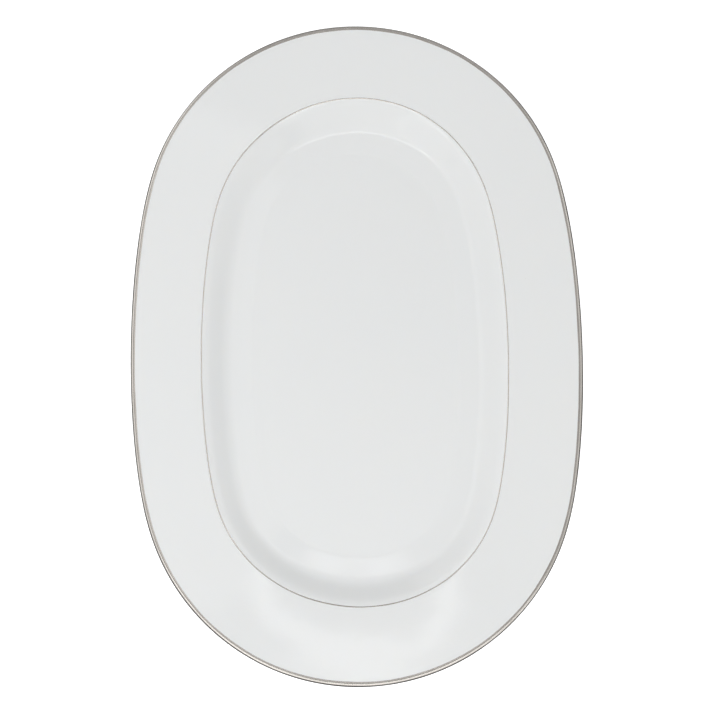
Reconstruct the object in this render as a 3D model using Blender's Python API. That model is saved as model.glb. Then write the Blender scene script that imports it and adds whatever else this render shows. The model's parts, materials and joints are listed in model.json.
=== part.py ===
"""Oval serving platter in white bone china, with a platinum edge band and a platinum verge line.

The platter lies on its foot ring on the plane z = 0, centred on the origin. Its length runs along Y and its
width along X. Every surface is a loft through ovals: a station says how far an oval lies inside the lip
(inset) and how high it is, and a list of stations is the platter's section.
"""

from math import atan, cos, degrees, hypot, pi, radians, sin

import bmesh
import bpy
import numpy as np

MM = 0.001

# Plan
LENGTH = 355.6 * MM
WIDTH = 240.0 * MM
SIDE_FLATNESS = 35  # how short the flatter stretch in the middle of each long side is
END_INSET_RATIO = 1.045  # an inset is this much wider at the two ends than at the long sides
STEPS_ROUND = 96
OUTLINE_SAMPLES = 4001

# Heights above the table
RIM_EDGE_Z = 26.4 * MM  # where the rim's upper face would meet a square lip
VERGE_Z = 17.2 * MM
WELL_Z = 6.6 * MM
RECESS_Z = 3.0 * MM
UNDER_FOOT_TOP_Z = 4.2 * MM

# Insets from the lip
VERGE_INSET = 37.7 * MM
STEEP_INSETS = (43.0 * MM, 47.0 * MM)  # the steep, even part of the wall
COVE_INSETS = (54.5 * MM, 63.0 * MM)  # the gentle, even part round the well
WELL_INSET = 65.0 * MM
FOOT_INSET = 54.0 * MM

# Foot ring
FOOT_WIDTH = 4.2 * MM
FOOT_ROUND = 0.6 * MM
FOOT_DRAFT = 0.8 * MM  # how far each side of the foot leans in over its height

# Wall of the china, the gentle slope round the well, and the pulls of the lower face's curve
LIP_THICKNESS = 3.0 * MM
VERGE_THICKNESS = 3.8 * MM
COVE_SLOPE = 0.21
WALL_STEPS = (3, 1, 3, 2, 2)  # stations in each stretch, from the verge line to the well
UNDER_TOP_PULL = 6.3 * MM
UNDER_BASE_PULL = (-5.5 * MM, 1.2 * MM)

# Platinum and print, drawn thick enough to be solids
FILM = 0.35 * MM
GAP = 0.30 * MM
BAND_TOP_WIDTH = 2.6 * MM
BAND_UNDER_WIDTH = 1.7 * MM
LINE_WIDTH = 0.7 * MM
STAMP_LENGTH = 30.0 * MM
STAMP_WIDTH = 20.0 * MM
STAMP_LINE = 0.8 * MM
STAMP_FLATNESS = 1
STAMP_STEPS = 40

RIM_SLOPE = (RIM_EDGE_Z - VERGE_Z) / VERGE_INSET
CHINA = (0.87, 0.88, 0.87, 1.0)
PLATINUM = (0.62, 0.59, 0.55, 1.0)
PRINT = (0.42, 0.43, 0.45, 1.0)


def clear_scene():
    for obj in list(bpy.data.objects):
        bpy.data.objects.remove(obj)


def material(name, colour, roughness, metallic=0.0):
    made = bpy.data.materials.new(name)
    made.use_nodes = True
    shader = made.node_tree.nodes["Principled BSDF"]
    shader.inputs["Base Color"].default_value = colour
    shader.inputs["Roughness"].default_value = roughness
    shader.inputs["Metallic"].default_value = metallic
    return made


def oval(length, width, flatness, steps):
    """Points of an oval with its long side along Y, evenly spaced along it, and the outward normal at each.

    Its radius is one value round the ends and rises to another in the middle of each long side, as a power
    of the cosine of the normal's angle. The two values follow from the length and the width.
    """
    angle = np.linspace(0, pi / 2, OUTLINE_SAMPLES)
    middle = (angle[1:] + angle[:-1]) / 2
    turn = angle[1]
    rise = np.cos(middle) ** (2 * flatness)
    across = np.sum(rise * np.sin(middle)) * turn
    along = np.sum(rise * np.cos(middle)) * turn
    side_gain = (length - width) / 2 / (along - across)
    stretch = (width / 2 - side_gain * across + side_gain * rise) * turn
    distance = np.concatenate([[0], np.cumsum(stretch)])
    x = width / 2 - np.concatenate([[0], np.cumsum(stretch * np.sin(middle))])
    y = np.concatenate([[0], np.cumsum(stretch * np.cos(middle))])
    evenly = np.interp(np.linspace(0, distance[-1], steps // 4 + 1), distance, angle)
    first = [
        (float(np.interp(a, angle, x)), float(np.interp(a, angle, y)), cos(a), sin(a))
        for a in evenly
    ]
    second = [(-px, py, -nx, ny) for px, py, nx, ny in reversed(first[:-1])]
    half = first + second
    return half + [(-px, -py, -nx, -ny) for px, py, nx, ny in half[1:-1]]


def bezier(start, start_pull, end_pull, end, steps):
    """Stations on a cubic Bezier curve, without its first point."""
    found = []
    for step in range(1, steps + 1):
        t = step / steps
        shares = ((1 - t) ** 3, 3 * t * (1 - t) ** 2, 3 * t * t * (1 - t), t**3)
        points = (start, start_pull, end_pull, end)
        found.append(tuple(sum(s * p[k] for s, p in zip(shares, points)) for k in (0, 1)))
    return found


def rim_top(inset):
    """Height of the rim's upper face."""
    return RIM_EDGE_Z - RIM_SLOPE * inset


def rim_under(inset):
    """Height of the rim's lower face, where the china thickens from the lip to the verge."""
    share = inset / VERGE_INSET
    return rim_top(inset) - LIP_THICKNESS - (VERGE_THICKNESS - LIP_THICKNESS) * share


def lip_round(depth, steps):
    """The rounded lip in section, from its upper side to its lower, this far under the platinum's face."""
    radius = LIP_THICKNESS / 2
    height = rim_top(radius) - radius * hypot(1, RIM_SLOPE)
    lean = degrees(atan(RIM_SLOPE))
    angles = [radians(90 - lean + 180 * step / steps) for step in range(steps + 1)]
    return [
        (radius + (radius - depth) * cos(a), height + (radius - depth) * sin(a)) for a in angles
    ]


def well_wall(shoulder):
    """The wall's upper face, from the flat of the well up to the shoulder beside the verge line.

    Its slope changes evenly over each stretch. The steep part is as steep as the well's depth asks.
    """
    insets = (shoulder, *STEEP_INSETS, *COVE_INSETS, WELL_INSET)
    spans = [inner - outer for outer, inner in zip(insets, insets[1:])]
    depth = rim_top(shoulder) - WELL_Z
    gentle = RIM_SLOPE * spans[0] / 2 + COVE_SLOPE * (spans[2] / 2 + spans[3] + spans[4] / 2)
    steep = (depth - gentle) / (spans[0] / 2 + spans[1] + spans[2] / 2)
    slopes = (RIM_SLOPE, steep, steep, COVE_SLOPE, COVE_SLOPE, 0.0)
    stations = [(shoulder, rim_top(shoulder))]
    for span, start, end, steps in zip(spans, slopes, slopes[1:], WALL_STEPS):
        inset, height = stations[-1]
        for step in range(1, steps + 1):
            share = step / steps
            fall = span * share * (start + (end - start) * share / 2)
            stations.append((inset + span * share, height - fall))
    stations[-1] = (WELL_INSET, WELL_Z)
    return stations[::-1]


def under_side():
    """The lower face, from the middle of the rim to the top of the foot's outer side."""
    middle = VERGE_INSET / 2
    verge = (VERGE_INSET, rim_under(VERGE_INSET))
    verge_pull = (VERGE_INSET + UNDER_TOP_PULL, rim_under(VERGE_INSET + UNDER_TOP_PULL))
    foot = (FOOT_INSET, UNDER_FOOT_TOP_Z)
    foot_pull = (FOOT_INSET + UNDER_BASE_PULL[0], UNDER_FOOT_TOP_Z + UNDER_BASE_PULL[1])
    return [(middle, rim_under(middle)), verge, *bezier(verge, verge_pull, foot_pull, foot, 5)]


def foot_ring():
    """The foot: its outer side, its rounded bearing edge, and its inner side up to the recess."""
    outer = FOOT_INSET + FOOT_DRAFT
    inner = FOOT_INSET + FOOT_WIDTH
    return [
        (outer, FOOT_ROUND),
        (outer + FOOT_ROUND, 0.0),
        (inner - FOOT_ROUND, 0.0),
        (inner, FOOT_ROUND),
        (inner + FOOT_DRAFT, RECESS_Z - FOOT_ROUND),
        (inner + FOOT_DRAFT + FOOT_ROUND, RECESS_Z),
    ]


def body_section():
    """The china's section, from the well's edge over the lip to the recess inside the foot.

    The china is stepped down under the edge band and under the verge line, which lie flush in their seats.
    """
    seat = FILM + GAP
    shoulder = VERGE_INSET + LINE_WIDTH / 2 + GAP
    rim_start = VERGE_INSET - LINE_WIDTH / 2 - GAP
    band_top = BAND_TOP_WIDTH + GAP
    band_under = BAND_UNDER_WIDTH + GAP
    return [
        *well_wall(shoulder),
        (shoulder, rim_top(shoulder) - seat),
        (rim_start, rim_top(rim_start) - seat),
        (rim_start, rim_top(rim_start)),
        (VERGE_INSET / 2, rim_top(VERGE_INSET / 2)),
        (band_top, rim_top(band_top)),
        (band_top, rim_top(band_top) - seat),
        *lip_round(seat, 5),
        (band_under, rim_under(band_under) + seat),
        (band_under, rim_under(band_under)),
        *under_side(),
        *foot_ring(),
    ]


def band_section():
    """The edge band's section: over the lip along its outer face, and back along its inner face."""
    top, under = BAND_TOP_WIDTH, BAND_UNDER_WIDTH
    outside = [(top, rim_top(top)), *lip_round(0, 6), (under, rim_under(under))]
    inside = [(top, rim_top(top) - FILM), *lip_round(FILM, 5), (under, rim_under(under) + FILM)]
    return outside + inside[::-1]


def line_section():
    """The verge line's section, flush with the rim."""
    near = VERGE_INSET + LINE_WIDTH / 2
    far = VERGE_INSET - LINE_WIDTH / 2
    return [
        (near, rim_top(near)),
        (far, rim_top(far)),
        (far, rim_top(far) - FILM),
        (near, rim_top(near) - FILM),
    ]


def stamp_section():
    """The section of the printed mark, a plain oval line on the face inside the foot ring."""
    high = RECESS_Z - GAP
    low = high - FILM / 2
    return [(0.0, high), (STAMP_LINE, high), (STAMP_LINE, low), (0.0, low)]


def loft(name, outline, section, end_ratio, look, ring):
    """An object lofted through one oval for each station, closed into a ring or capped flat at both ends."""
    bm = bmesh.new()
    circles = [
        [
            bm.verts.new((x - inset * nx, y - inset * end_ratio * ny, height))
            for x, y, nx, ny in outline
        ]
        for inset, height in section
    ]
    following = circles[1:] + circles[:1] if ring else circles[1:]
    for first, second in zip(circles, following):
        for i, corner in enumerate(first):
            bm.faces.new((corner, first[i - 1], second[i - 1], second[i]))
    if not ring:
        bm.faces.new(circles[0])
        bm.faces.new(circles[-1])
    bmesh.ops.recalc_face_normals(bm, faces=bm.faces)
    mesh = bpy.data.meshes.new(name)
    bm.to_mesh(mesh)
    bm.free()
    mesh.shade_smooth()
    mesh.set_sharp_from_angle(angle=radians(40))
    mesh.materials.append(look)
    return bpy.data.objects.new(name, mesh)


def main():
    clear_scene()
    collection = bpy.data.collections.new("oval_serving_platter")
    bpy.context.scene.collection.children.link(collection)
    china = material("bone_china", CHINA, 0.08)
    platinum = material("platinum", PLATINUM, 0.22, metallic=1.0)
    printed = material("printed_mark", PRINT, 0.3)
    lip = oval(LENGTH, WIDTH, SIDE_FLATNESS, STEPS_ROUND)
    stamp = oval(STAMP_LENGTH, STAMP_WIDTH, STAMP_FLATNESS, STAMP_STEPS)
    pieces = [
        loft("platter_body", lip, body_section(), END_INSET_RATIO, china, ring=False),
        loft("edge_band", lip, band_section(), END_INSET_RATIO, platinum, ring=True),
        loft("verge_line", lip, line_section(), END_INSET_RATIO, platinum, ring=True),
        loft("backstamp", stamp, stamp_section(), 1.0, printed, ring=True),
    ]
    for piece in pieces:
        collection.objects.link(piece)


main()
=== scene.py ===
"""The looks of an oval serving platter in bone china: fine meshes, glaze, fired platinum, and a plain studio.

The platter lies on its foot on the plane z = 0, centred on the origin, with its length along Y. Its surfaces
are lofts through ovals. A station says how far an oval lies inside the lip (inset) and how high it is.
"""

import json
from math import atan, cos, hypot, pi, radians, sin

import bpy
import numpy as np
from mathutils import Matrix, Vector

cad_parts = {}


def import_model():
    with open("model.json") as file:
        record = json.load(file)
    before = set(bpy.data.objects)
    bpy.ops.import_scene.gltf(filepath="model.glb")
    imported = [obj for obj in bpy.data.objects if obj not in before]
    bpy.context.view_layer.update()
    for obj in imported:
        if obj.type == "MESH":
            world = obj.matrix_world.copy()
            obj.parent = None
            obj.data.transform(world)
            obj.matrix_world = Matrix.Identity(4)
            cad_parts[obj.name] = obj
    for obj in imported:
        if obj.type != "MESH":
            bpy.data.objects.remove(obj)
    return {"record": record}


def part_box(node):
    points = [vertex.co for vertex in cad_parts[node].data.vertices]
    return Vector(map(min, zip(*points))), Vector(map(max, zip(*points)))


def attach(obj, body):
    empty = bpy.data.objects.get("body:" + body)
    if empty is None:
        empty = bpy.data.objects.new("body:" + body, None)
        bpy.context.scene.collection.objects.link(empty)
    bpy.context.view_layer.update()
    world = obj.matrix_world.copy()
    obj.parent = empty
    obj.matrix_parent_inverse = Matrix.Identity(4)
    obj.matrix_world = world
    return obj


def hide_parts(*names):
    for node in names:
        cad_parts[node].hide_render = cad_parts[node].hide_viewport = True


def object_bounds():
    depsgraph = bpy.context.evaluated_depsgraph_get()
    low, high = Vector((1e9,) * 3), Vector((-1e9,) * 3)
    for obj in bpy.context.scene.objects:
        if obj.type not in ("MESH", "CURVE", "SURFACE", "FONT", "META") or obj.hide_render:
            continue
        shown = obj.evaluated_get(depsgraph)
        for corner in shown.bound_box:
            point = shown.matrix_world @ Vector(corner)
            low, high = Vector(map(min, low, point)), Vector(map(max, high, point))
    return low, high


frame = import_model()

MM = 0.001
cad_box = [list(corner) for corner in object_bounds()]

# Sizes read from the frame
LOW, HIGH = (Vector(corner) for corner in cad_box)
LINE_LOW, LINE_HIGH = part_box("verge_line")
STAMP_LOW, STAMP_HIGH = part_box("backstamp")
WIDTH = HIGH.x - LOW.x
LENGTH = HIGH.y - LOW.y
MOUNTS = {mount["name"]: mount for mount in frame["record"]["mounts"]}
WELL_Z = MOUNTS["well_floor"]["pos_m"][2]
GAP = 0.3 * MM  # what the CAD leaves between neighbouring solids
RECESS_Z = STAMP_HIGH.z + GAP

# The section, in the CAD part's own terms
LINE_WIDTH = 0.7 * MM
VERGE_INSET = (WIDTH - (LINE_HIGH.x - LINE_LOW.x) + LINE_WIDTH) / 2
END_INSET_RATIO = (LENGTH - (LINE_HIGH.y - LINE_LOW.y)) / (WIDTH - (LINE_HIGH.x - LINE_LOW.x))
LIP_THICKNESS = 3.0 * MM
VERGE_THICKNESS = 3.8 * MM
FOLD_INSET = 36.0 * MM  # where the rim starts to turn down
WALL_INSETS = (43.0 * MM, 47.0 * MM)  # the steep, even part
COVE = ((54.5 * MM, 0.200), (63.0 * MM, 0.195))  # insets and slopes of the gentle part below it
WELL_INSET = 65.0 * MM
FOOT_INSET = 54.0 * MM
FOOT_WIDTH = 4.2 * MM
FOOT_ROUND = 0.6 * MM
FOOT_DRAFT = 0.8 * MM
UNDER_FOOT_TOP_Z = 4.2 * MM
UNDER_TOP_PULL = 6.3 * MM
UNDER_BASE_PULL = (-5.5 * MM, 1.2 * MM)
SIDE_FLATNESS = 35
BAND_TOP_WIDTH = 2.6 * MM
BAND_UNDER_WIDTH = 1.7 * MM
STAMP_LINE = 0.8 * MM

# The rim's slope follows from the lip's top and the line's top, each a known way in from the lip
LIP_RADIUS = LIP_THICKNESS / 2
LINE_OUTER_INSET = VERGE_INSET - LINE_WIDTH / 2
RIM_SLOPE = (HIGH.z - LINE_HIGH.z) / (LINE_OUTER_INSET - LIP_RADIUS)
RIM_EDGE_Z = LINE_HIGH.z + RIM_SLOPE * LINE_OUTER_INSET

# Fineness
STEPS_ROUND = 384
OUTLINE_SAMPLES = 4001

# What makes it a fired, hand-banded piece
WARP = 0.12 * MM  # how far the rim rises and dips round the platter
OFF_CENTRE = 0.5 * MM  # how far the verge, wall and well lie off the rim's middle, towards -X
OUT_OF_TRUE = (0.5 * MM, 0.6 * MM)  # a three-sided wander of the verge: cosine and sine part
WELL_SHIFT = 1.8 * MM  # how far the whole well lies off the verge line's middle, towards -Y
RIPPLE = 0.004 * MM  # height of one glaze ripple 30 mm long; longer ones are higher
RIPPLE_COUNT = 14
FILM = 0.03 * MM  # how proud of the glaze the fired metal and the print stand
SEED = 7
LIP_PAINTED_DARK = (1.75 * MM, 2.35 * MM)  # how far across the band its painted dark reflection (outer part turned near-black and rougher) begins and is full


def oval(length, width, flatness, steps):
    """An oval, long side along Y: x, y, outward normal x and y, and distance along it, evenly spaced.

    Its radius is one value round the ends and rises to another in the middle of each long side, as a power
    of the cosine of the normal's angle.
    """
    angle = np.linspace(0, pi / 2, OUTLINE_SAMPLES)
    middle = (angle[1:] + angle[:-1]) / 2
    turn = angle[1]
    rise = np.cos(middle) ** (2 * flatness)
    across = np.sum(rise * np.sin(middle)) * turn
    along = np.sum(rise * np.cos(middle)) * turn
    side_gain = (length - width) / 2 / (along - across)
    stretch = (width / 2 - side_gain * across + side_gain * rise) * turn
    distance = np.concatenate([[0], np.cumsum(stretch)])
    x = width / 2 - np.concatenate([[0], np.cumsum(stretch * np.sin(middle))])
    y = np.concatenate([[0], np.cumsum(stretch * np.cos(middle))])
    evenly = np.linspace(0, distance[-1], steps // 4 + 1)
    at = np.interp(evenly, distance, angle)
    quarter = np.stack([np.interp(at, angle, x), np.interp(at, angle, y), np.cos(at), np.sin(at)])
    mirror_x = np.array([[-1], [1], [-1], [1]])
    half = np.concatenate([quarter, mirror_x * quarter[:, -2::-1]], axis=1)
    full = np.concatenate([half, -half[:, 1:-1]], axis=1)
    return {
        "x": full[0],
        "y": full[1],
        "nx": full[2],
        "ny": full[3],
        "s": np.arange(steps) * evenly[1],
        "length": steps * evenly[1],
    }


def bezier(start, start_pull, end_pull, end, steps):
    """Stations on a cubic Bezier curve, without its first point."""
    t = np.linspace(0, 1, steps + 1)[1:, None]
    a, b, c, d = (np.array(p) for p in (start, start_pull, end_pull, end))
    return (1 - t) ** 3 * a + 3 * t * (1 - t) ** 2 * b + 3 * t * t * (1 - t) * c + t**3 * d


def straight(start, end, steps):
    """Stations on a straight stretch, without its first point."""
    t = np.linspace(0, 1, steps + 1)[1:, None]
    return (1 - t) * np.array(start) + t * np.array(end)


def turn(centre, radius, start, end, steps):
    """Stations on an arc, angles in degrees, 0 towards the middle of the platter."""
    a = np.radians(np.linspace(start, end, steps + 1))[:, None]
    return np.array(centre) + radius * np.concatenate([np.cos(a), np.sin(a)], axis=1)


def rim_top(inset):
    return RIM_EDGE_Z - RIM_SLOPE * inset


def rim_under(inset):
    return rim_top(inset) - LIP_THICKNESS - (VERGE_THICKNESS - LIP_THICKNESS) * inset / VERGE_INSET


def smooth(low, high, value):
    t = np.clip((value - low) / (high - low), 0, 1)
    return t * t * (3 - 2 * t)


def well_wall(steps):
    """Stations up the wall, from the flat of the well to the rim, its slope easing from knot to knot."""
    insets = [FOLD_INSET, *WALL_INSETS, *(inset for inset, _ in COVE), WELL_INSET]
    gentle = [slope for _, slope in COVE] + [0.0]
    spans = np.diff(insets)
    drop = rim_top(FOLD_INSET) - WELL_Z
    known = [RIM_SLOPE, 0.0, 0.0, *gentle]
    drop_known = sum(span * (a + b) / 2 for span, a, b in zip(spans, known, known[1:]))
    steep = (drop - drop_known) / (spans[0] / 2 + spans[1] + spans[2] / 2)
    slopes = [RIM_SLOPE, steep, steep, *gentle]
    inset = np.linspace(FOLD_INSET, WELL_INSET, 40 * steps + 1)
    slope = np.full(inset.shape, RIM_SLOPE)
    for low, high, a, b in zip(insets, insets[1:], slopes, slopes[1:]):
        slope = slope + (b - a) * smooth(low, high, inset)
    fall = np.concatenate([[0], np.cumsum((slope[1:] + slope[:-1]) / 2 * np.diff(inset))])
    stations = np.stack([inset, rim_top(FOLD_INSET) - fall], axis=1)[::-40]
    stations[0, 1] = WELL_Z
    return stations


def china_section():
    """The china's section and the stations where its upper face, bearing edge and lip begin and end."""
    lean = np.degrees(atan(RIM_SLOPE))
    lip_centre = (LIP_RADIUS, rim_top(LIP_RADIUS) - LIP_RADIUS * hypot(1, RIM_SLOPE))
    lip = turn(lip_centre, LIP_RADIUS, 90 - lean, 270 - lean, 18)
    wall = well_wall(52)
    under_verge = (VERGE_INSET, rim_under(VERGE_INSET))
    under_pull = (VERGE_INSET + UNDER_TOP_PULL, rim_under(VERGE_INSET + UNDER_TOP_PULL))
    foot_top = (FOOT_INSET, UNDER_FOOT_TOP_Z)
    foot_pull = (FOOT_INSET + UNDER_BASE_PULL[0], UNDER_FOOT_TOP_Z + UNDER_BASE_PULL[1])
    outer = FOOT_INSET + FOOT_DRAFT
    inner = FOOT_INSET + FOOT_WIDTH
    inner_top = inner + FOOT_DRAFT
    runs = [
        ("well", wall[:1]),
        ("wall", wall[1:]),
        ("rim", straight(wall[-1], lip[0], 26)),
        ("lip", lip[1:]),
        ("under_rim", straight(lip[-1], under_verge, 22)),
        ("under_wall", bezier(under_verge, under_pull, foot_pull, foot_top, 22)),
        ("foot_outside", straight(foot_top, (outer, FOOT_ROUND), 5)),
        ("foot_edge", turn((outer + FOOT_ROUND, FOOT_ROUND), FOOT_ROUND, 180, 270, 6)[1:]),
        ("foot_edge", straight((outer + FOOT_ROUND, 0.0), (inner - FOOT_ROUND, 0.0), 4)),
        ("foot_edge", turn((inner - FOOT_ROUND, FOOT_ROUND), FOOT_ROUND, 270, 360, 6)[1:]),
        ("foot_inside", straight((inner, FOOT_ROUND), (inner_top, RECESS_Z - FOOT_ROUND), 3)),
        ("recess", turn((inner_top + FOOT_ROUND, RECESS_Z - FOOT_ROUND), FOOT_ROUND, 180, 90, 6)[1:]),
    ]
    stations = np.concatenate([points for _, points in runs])
    zones = [zone for zone, points in runs for _ in points]
    return stations, zones


def ripples():
    """Directions, wavelengths and starts of the waves that a glaze surface is never without."""
    draw = np.random.default_rng(SEED)
    heading = draw.uniform(0, pi, RIPPLE_COUNT)
    wavelength = draw.uniform(16 * MM, 55 * MM, RIPPLE_COUNT)
    start = draw.uniform(0, 2 * pi, (2, RIPPLE_COUNT))
    return heading, wavelength, start


def unevenness(x, y, inset, upper):
    """How far the fired surface stands above the drawn one: a warp of the rim, and ripples in the glaze."""
    warp = WARP * np.cos(2 * np.arctan2(y, x * LENGTH / WIDTH) - 0.6) * smooth(FOOT_INSET, 0, inset)
    heading, wavelength, start = ripples()
    total = np.zeros(np.broadcast(x, inset).shape)
    for k in range(RIPPLE_COUNT):
        across = x * cos(heading[k]) + y * sin(heading[k])
        phase = np.where(upper, start[0, k], start[1, k])
        total += RIPPLE * wavelength[k] / (30 * MM) * np.sin(2 * pi * across / wavelength[k] + phase)
    off_lip = smooth(2 * MM, 14 * MM, inset)
    off_foot = np.where(upper, 1.0, smooth(0.5 * MM, 5 * MM, np.abs(inset - FOOT_INSET - FOOT_WIDTH / 2)))
    return warp + total * off_lip * off_foot


def wander(outline, inset):
    """How far the pressed verge strays inwards from its drawn place, which the rim evens out up to the lip."""
    facing = np.arctan2(outline["ny"], outline["nx"])
    stray = OFF_CENTRE * np.cos(facing)
    stray = stray + OUT_OF_TRUE[0] * np.cos(3 * facing) + OUT_OF_TRUE[1] * np.sin(3 * facing)
    return stray * smooth(LIP_THICKNESS, 0.8 * VERGE_INSET, inset)


def placed(outline, inset, height, upper):
    """Points in the frame for stations (one row each) round the outline (one column each)."""
    inset = inset + wander(outline, inset)
    x = outline["x"] - inset * outline["nx"]
    y = outline["y"] - inset * END_INSET_RATIO * outline["ny"] - WELL_SHIFT * smooth(VERGE_INSET, FOOT_INSET - 2 * MM, inset)
    return np.stack([x, y, height + unevenness(x, y, inset, upper)], axis=-1)


def mesh_object(name, points, closed, uv=None):
    """An object of quads over a grid of points, each row a closed loop, with its ends joined or fanned shut."""
    rows, columns = points.shape[:2]
    index = np.arange(rows * columns).reshape(rows, columns)
    last = rows if closed else rows - 1
    first = index[:last]
    second = np.roll(index, -1, axis=0)[:last]
    quads = np.stack([first, np.roll(first, -1, 1), np.roll(second, -1, 1), second], axis=-1)
    vertices = [tuple(p) for p in points.reshape(-1, 3)]
    faces = [tuple(q) for q in quads.reshape(-1, 4)]
    if not closed:
        for row, flip in ((0, True), (rows - 1, False)):
            vertices.append(tuple(points[row].mean(axis=0)))
            hub = len(vertices) - 1
            for k in range(columns):
                here, there = int(index[row, k]), int(index[row, (k + 1) % columns])
                faces.append((there, here, hub) if flip else (here, there, hub))
    mesh = bpy.data.meshes.new(name)
    mesh.from_pydata(vertices, [], faces)
    mesh.validate()
    mesh.shade_smooth()
    obj = bpy.data.objects.new(name, mesh)
    bpy.context.scene.collection.objects.link(obj)
    if uv is not None:
        layer = mesh.uv_layers.new(name="along")
        along, across = uv
        for face, polygon in enumerate(mesh.polygons):
            row, column = divmod(face, columns)
            corners = ((row, column), (row, column + 1), (row + 1, column + 1), (row + 1, column))
            for loop, (r, c) in zip(polygon.loop_indices, corners):
                layer.data[loop].uv = (along[c], across[r])
    return obj


# --- Materials ---------------------------------------------------------------------------------------------


class Nodes:
    """Short forms for building a material's nodes."""

    def __init__(self, name):
        self.material = bpy.data.materials.new(name)
        self.material.use_nodes = True
        self.tree = self.material.node_tree
        self.shader = self.tree.nodes["Principled BSDF"]

    def add(self, kind, **settings):
        made = self.tree.nodes.new(kind)
        for key, value in settings.items():
            setattr(made, key, value)
        return made

    def link(self, source, target):
        self.tree.links.new(source, target)

    def value(self, target, source):
        if isinstance(source, bpy.types.NodeSocket):
            self.link(source, target)
        else:
            target.default_value = source

    def math(self, operation, *inputs):
        made = self.add("ShaderNodeMath", operation=operation)
        for socket, source in zip(made.inputs, inputs):
            self.value(socket, source)
        return made.outputs[0]

    def remap(self, source, low, high, to_low, to_high):
        made = self.add("ShaderNodeMapRange")
        for key, item in zip(("Value", "From Min", "From Max", "To Min", "To Max"), (source, low, high, to_low, to_high)):
            self.value(made.inputs[key], item)
        return made.outputs[0]

    def noise(self, vector, scale, detail=2.0, roughness=0.5):
        made = self.add("ShaderNodeTexNoise")
        self.link(vector, made.inputs["Vector"])
        made.inputs["Scale"].default_value = scale
        made.inputs["Detail"].default_value = detail
        made.inputs["Roughness"].default_value = roughness
        return made.outputs["Fac"]

    def cells(self, vector, scale):
        made = self.add("ShaderNodeTexVoronoi")
        self.link(vector, made.inputs["Vector"])
        made.inputs["Scale"].default_value = scale
        pick = self.add("ShaderNodeSeparateColor")
        self.link(made.outputs["Color"], pick.inputs[0])
        return made.outputs["Distance"], pick.outputs[0]

    def stretched(self, vector, scale):
        made = self.add("ShaderNodeMapping")
        self.link(vector, made.inputs["Vector"])
        made.inputs["Scale"].default_value = scale
        return made.outputs[0]

    def mix(self, share, first, second):
        made = self.add("ShaderNodeMix", data_type="RGBA")
        self.value(made.inputs[0], share)
        self.value(made.inputs[6], first)
        self.value(made.inputs[7], second)
        return made.outputs[2]

    def bump(self, height, strength, distance):
        made = self.add("ShaderNodeBump")
        made.inputs["Strength"].default_value = strength
        made.inputs["Distance"].default_value = distance
        self.link(height, made.inputs["Height"])
        self.link(made.outputs[0], self.shader.inputs["Normal"])

    def set(self, **values):
        for key, item in values.items():
            self.value(self.shader.inputs[key.replace("_", " ")], item)


def glazed_china():
    n = Nodes("bone_china_glaze")
    place = n.add("ShaderNodeTexCoord").outputs["Object"]
    drift = n.noise(place, 11.0, detail=3.0)
    base = n.mix(drift, (0.776, 0.791, 0.796, 1), (0.795, 0.803, 0.798, 1))
    spot_distance, spot_pick = n.cells(place, 120.0)
    picked = n.math("GREATER_THAN", spot_pick, 0.93)
    dot = n.math("LESS_THAN", spot_distance, 0.016)
    speck = n.math("MULTIPLY", n.math("MULTIPLY", picked, dot), 0.6)
    n.set(Base_Color=n.mix(speck, base, (0.42, 0.38, 0.33, 1)))
    scratch_a = n.noise(n.stretched(place, (30, 2400, 30)), 1.0, detail=4.0)
    scratch_b = n.noise(n.stretched(place, (1900, 45, 30)), 1.0, detail=4.0)
    scratch = n.math("MAXIMUM", scratch_a, scratch_b)
    n.set(Roughness=n.remap(scratch, 0.60, 0.80, 0.055, 0.13))
    n.set(IOR=1.52, Subsurface_Weight=0.10, Subsurface_Scale=0.003)
    n.shader.inputs["Subsurface Radius"].default_value = (1.0, 0.9, 0.75)
    peel = n.noise(place, 420.0, detail=3.0)
    n.bump(peel, 0.05, 0.0004)
    return n.material


def bare_foot():
    n = Nodes("bare_foot_edge")
    place = n.add("ShaderNodeTexCoord").outputs["Object"]
    grain = n.noise(place, 2600.0, detail=5.0, roughness=0.65)
    stain = n.noise(place, 60.0, detail=4.0)
    base = n.mix(n.remap(stain, 0.45, 0.75, 0, 0.7), (0.74, 0.73, 0.70, 1), (0.60, 0.57, 0.52, 1))
    n.set(Base_Color=base, Roughness=n.remap(grain, 0.3, 0.7, 0.65, 0.9))
    n.bump(grain, 0.35, 0.00012)
    return n.material


def platinum():
    n = Nodes("fired_platinum")
    pin = n.add("ShaderNodeUVMap")
    pin.uv_map = "along"
    place = n.add("ShaderNodeTexCoord").outputs["Object"]
    streaks = n.noise(n.stretched(pin.outputs[0], (90, 2600, 1)), 1.0, detail=4.0, roughness=0.6)
    patches = n.noise(place, 55.0, detail=4.0)
    tone = n.mix(n.remap(streaks, 0.3, 0.7, 0, 1), (0.50, 0.47, 0.435, 1), (0.60, 0.575, 0.54, 1))
    worn = n.remap(patches, 0.52, 0.78, 0.0, 0.55)
    n.set(Metallic=1.0)
    split = n.add("ShaderNodeSeparateXYZ")
    n.link(pin.outputs[0], split.inputs[0])
    # Painted dark reflection: towards the lip the band's colour and reflection tint turn near-black and its
    # roughness rises, standing in for the dark room reflected in the lip
    painted_dark_lip = n.remap(split.outputs["Y"], *LIP_PAINTED_DARK, 0.0, 1.0)
    n.set(Base_Color=n.mix(painted_dark_lip, n.mix(worn, tone, (0.44, 0.41, 0.37, 1)), (0.075, 0.07, 0.065, 1)))
    n.set(Specular_Tint=n.mix(painted_dark_lip, (1, 1, 1, 1), (0.10, 0.095, 0.09, 1)))
    n.set(Roughness=n.math("ADD", n.remap(streaks, 0.25, 0.75, 0.12, 0.26), n.math("MULTIPLY", painted_dark_lip, 0.12)))
    n.bump(streaks, 0.25, 0.00003)
    return n.material


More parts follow.
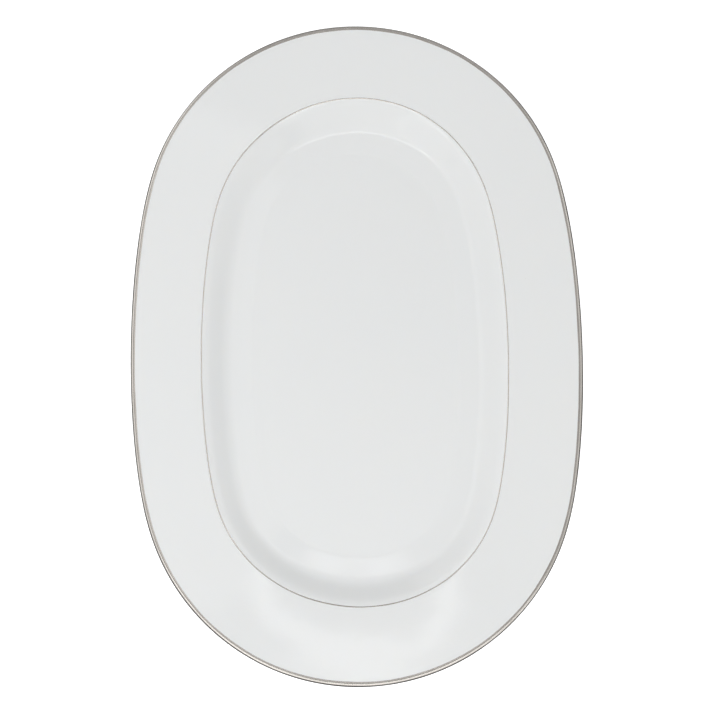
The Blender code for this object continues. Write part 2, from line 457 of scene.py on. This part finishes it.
def printed_mark():
    n = Nodes("printed_mark_ink")
    place = n.add("ShaderNodeTexCoord").outputs["Object"]
    ink = n.noise(place, 1500.0, detail=4.0)
    n.set(Base_Color=n.mix(n.remap(ink, 0.35, 0.65, 0, 1), (0.33, 0.34, 0.36, 1), (0.47, 0.48, 0.50, 1)))
    n.set(Roughness=n.remap(ink, 0.3, 0.7, 0.08, 0.2))
    return n.material


# --- Pieces ------------------------------------------------------------------------------------------------


def china_body(outline):
    """The china: the section lofted round, then the well and the recess closed with shrinking ovals."""
    stations, zones = china_section()
    inset, height = stations[:, :1], stations[:, 1:]
    upper = np.array([zone in ("well", "wall", "rim") for zone in zones])[:, None]
    wall = placed(outline, inset, height, upper)
    share = np.linspace(0, 1, 41)[1:-1, None]
    well_x, well_y = wall[0, :, 0] * share, wall[0, :, 1] * share
    floor = np.stack([well_x, well_y, WELL_Z + unevenness(well_x, well_y, WELL_INSET, True)], axis=-1)
    under_x, under_y = wall[-1, :, 0] * share[::-1], wall[-1, :, 1] * share[::-1]
    roof = np.stack([under_x, under_y, RECESS_Z + unevenness(under_x, under_y, WELL_INSET * 2, False)], axis=-1)
    grid = np.concatenate([floor, wall, roof])
    body = mesh_object("platter_china", grid, closed=False)
    body.data.materials.append(glazed_china())
    body.data.materials.append(bare_foot())
    columns = grid.shape[1]
    bare_rows = [len(floor) + k for k, zone in enumerate(zones) if zone == "foot_edge"]
    first, last = min(bare_rows) * columns, max(bare_rows) * columns
    for polygon in body.data.polygons[first:last]:
        polygon.material_index = 1
    return body


def hand_wobble(outline, seed, amount):
    """A slow wander round the outline, as of a brush held against a turning piece."""
    draw = np.random.default_rng(seed)
    turns = outline["s"] / outline["length"] * 2 * pi
    waves = [
        draw.uniform(0.3, 1) / k**0.5 * np.sin(k * turns + draw.uniform(0, 2 * pi)) for k in range(3, 40, 3)
    ]
    total = np.sum(waves, axis=0)
    return amount * total / np.abs(total).max()


def film(name, outline, start, end, steps, upper):
    """A fired film on the china between two places along its section, each given for every point round."""
    stations, _ = china_section()
    run = np.concatenate([[0], np.cumsum(np.hypot(*np.diff(stations, axis=0).T))])
    across = np.linspace(0, 1, steps + 1)
    places = start + (end - start) * across[:, None]
    inset = np.interp(places, run, stations[:, 0])
    height = np.interp(places, run, stations[:, 1])
    step = 0.05 * MM
    d_inset = np.interp(places + step, run, stations[:, 0]) - np.interp(places - step, run, stations[:, 0])
    d_height = np.interp(places + step, run, stations[:, 1]) - np.interp(places - step, run, stations[:, 1])
    size = np.hypot(d_inset, d_height)
    out_inset, out_height = d_height / size, -d_inset / size
    crown = (np.minimum(across, 1 - across) * 2) ** 0.35
    proud = (FILM * crown)[:, None] - FILM * 0.2
    sunk = -FILM
    outside = placed(outline, inset + out_inset * proud, height + out_height * proud, upper)
    inside = placed(outline, inset + out_inset * sunk, height + out_height * sunk, upper)
    grid = np.concatenate([outside, inside[::-1]])
    along = np.append(outline["s"], outline["length"])
    width = float(np.mean(end - start))
    there = across * width
    return mesh_object(name, grid, closed=True, uv=(along, np.concatenate([there, there[::-1], there[:1]])))


def station_at(wanted, zone_names):
    """How far along the section a station at this inset lies, within the zones named."""
    stations, zones = china_section()
    run = np.concatenate([[0], np.cumsum(np.hypot(*np.diff(stations, axis=0).T))])
    chosen = [k for k, zone in enumerate(zones) if zone in zone_names]
    order = sorted(chosen, key=lambda k: stations[k, 0])
    return float(np.interp(wanted, stations[order, 0], run[order]))


def main():
    outline = oval(LENGTH, WIDTH, SIDE_FLATNESS, STEPS_ROUND)
    metal = platinum()
    china = china_body(outline)
    top = station_at(BAND_TOP_WIDTH, ("rim",)) + hand_wobble(outline, 11, 0.14 * MM)
    under = station_at(BAND_UNDER_WIDTH, ("under_rim",)) + hand_wobble(outline, 12, 0.25 * MM)
    band = film("platinum_edge_band", outline, top, under, 40, True)
    line_place = station_at(VERGE_INSET, ("wall", "rim")) + hand_wobble(outline, 13, 0.10 * MM)
    half_width = LINE_WIDTH / 2 + hand_wobble(outline, 14, 0.07 * MM)
    line = film("platinum_verge_line", outline, line_place - half_width, line_place + half_width, 8, True)
    for piece in (band, line):
        piece.data.materials.append(metal)

    stamp_outline = oval(STAMP_HIGH.y - STAMP_LOW.y, STAMP_HIGH.x - STAMP_LOW.x, 1, 160)
    stamp_inset = np.array([0.0, 0.0, STAMP_LINE, STAMP_LINE])[:, None]
    surface = RECESS_Z + unevenness(stamp_outline["x"], stamp_outline["y"], WELL_INSET * 2, False)
    stamp_height = surface + np.array([FILM, -FILM / 2, -FILM / 2, FILM])[:, None]
    stamp_x = stamp_outline["x"] - stamp_inset * stamp_outline["nx"]
    stamp_y = stamp_outline["y"] - stamp_inset * stamp_outline["ny"]
    stamp = mesh_object("backstamp_print", np.stack([stamp_x, stamp_y, stamp_height], axis=-1), closed=True)
    stamp.data.materials.append(printed_mark())

    for piece, node, slot in (
        (china, "platter_body", "bone_china"),
        (band, "edge_band", "platinum"),
        (line, "verge_line", "platinum"),
        (stamp, "backstamp", "printed_mark"),
    ):
        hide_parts(node)
        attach(piece, "root")


# --- Studio ------------------------------------------------------------------------------------------------

CAMERA_DISTANCE = 0.70
CAMERA_TILT = 8.9  # degrees from straight above, towards -Y
CAMERA_ROLL = -0.75
CAMERA_AIM = (1.73 * MM, -7.0 * MM)  # where on the platter it looks
FIELD = 0.3883  # how wide the camera sees at the platter

FLOOR_GLOW = 0.5
ROOM_BRIGHTNESS = 0.515
SOFTBOXES = (  # name, height, left and right edge, near and far edge, brightness
    ("far_strip", 8.50, (-4.60, 5.40), (3.01, 3.25), 1.95),
    ("right_box", 4.90, (1.05, 2.89), (-0.30, 2.40), 0.59),
    ("right_wall", 3.00, (1.90, 5.00), (-2.00, 3.00), 0.45),
    ("left_box", 0.89, (-0.85, -0.34), (-1.00, 1.00), 0.81),
    ("left_wall", 0.89, (-2.27, -0.90), (-1.00, 2.60), 0.72),
    ("near_box", 0.86, (-0.67, 1.90), (-1.45, -0.62), 1.27),
    ("near_top_box", 1.10, (-0.50, 0.50), (-0.75, -0.20), 0.57),
    ("back_strip", 3.77, (-1.90, 1.15), (-1.00, -0.63), 2.30),
)


def aim(obj, target):
    direction = Vector(target) - obj.location
    obj.rotation_euler = direction.to_track_quat("-Z", "Y").to_euler()


def camera():
    data = bpy.data.cameras.new("camera")
    data.sensor_width = 36.0
    data.lens = 36.0 * CAMERA_DISTANCE / FIELD
    obj = bpy.data.objects.new("camera", data)
    bpy.context.scene.collection.objects.link(obj)
    tilt = radians(CAMERA_TILT)
    target = Vector((*CAMERA_AIM, HIGH.z / 2))
    obj.location = target + CAMERA_DISTANCE * Vector((0, -sin(tilt), cos(tilt)))
    aim(obj, target)
    obj.rotation_euler.rotate_axis("Z", radians(CAMERA_ROLL))
    bpy.context.scene.camera = obj


def softbox(name, height, across, along, brightness):
    """A plain softbox hung level over the platter, as bright as a white card lit that much."""
    data = bpy.data.lights.new(name, "AREA")
    data.shape = "RECTANGLE"
    data.size, data.size_y = across[1] - across[0], along[1] - along[0]
    data.energy = pi * data.size * data.size_y * brightness
    obj = bpy.data.objects.new(name, data)
    bpy.context.scene.collection.objects.link(obj)
    obj.location = (sum(across) / 2, sum(along) / 2, height)


def floor():
    half = 6.0
    mesh = bpy.data.meshes.new("floor")
    corners = [(-half, -half, 0), (half, -half, 0), (half, half, 0), (-half, half, 0)]
    mesh.from_pydata(corners, [], [(0, 1, 2, 3)])
    obj = bpy.data.objects.new("floor", mesh)
    bpy.context.scene.collection.objects.link(obj)
    n = Nodes("white_floor")
    n.set(Base_Color=(0.9, 0.9, 0.9, 1), Roughness=0.9, Emission_Color=(1, 1, 1, 1), Emission_Strength=FLOOR_GLOW)
    n.shader.inputs["Specular IOR Level"].default_value = 0.0
    mesh.materials.append(n.material)


def world():
    made = bpy.data.worlds.new("studio_room")
    made.use_nodes = True
    background = made.node_tree.nodes["Background"]
    background.inputs["Color"].default_value = (1, 1, 1, 1)
    background.inputs["Strength"].default_value = ROOM_BRIGHTNESS
    bpy.context.scene.world = made


def studio():
    camera()
    floor()
    world()
    for box in SOFTBOXES:
        softbox(*box)
    bpy.context.scene.view_settings.view_transform = "Standard"


main()
studio()
